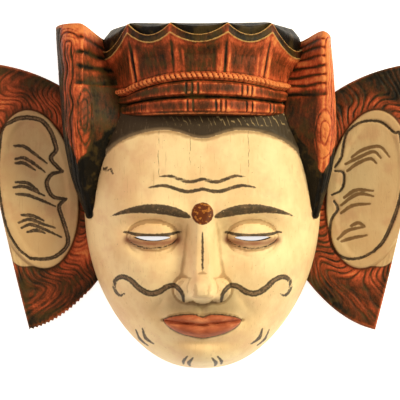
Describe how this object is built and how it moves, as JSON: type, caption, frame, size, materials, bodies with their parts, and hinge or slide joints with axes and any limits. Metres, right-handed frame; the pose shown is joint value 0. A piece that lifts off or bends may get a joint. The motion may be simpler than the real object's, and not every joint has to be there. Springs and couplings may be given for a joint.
{
  "type": "topeng mask",
  "caption": "Carved and painted wooden dance mask with a scalloped crown, side curls of hair, two broad board ears, a hollow back and pierced eye slits.",
  "frame": {"origin": "in the plane that the back rim rests on, in the middle of the whole part's width and height", "axes": "+X to the right as the mask is looked at, +Y from chin to crown, +Z out of the face, away from the wearer"},
  "size_m": [0.298, 0.222, 0.0829],
  "materials": {
    "painted_face": "carved wood under worn satin paint: cream face, black hair, red-brown crown",
    "painted_ears": "carved wood under worn satin paint: cream inside, red-brown and black hair round it"
  },
  "bodies": {
    "root": {"mask": "painted_face", "ear_left": "painted_ears", "ear_right": "painted_ears"}
  },
  "joints": []
}
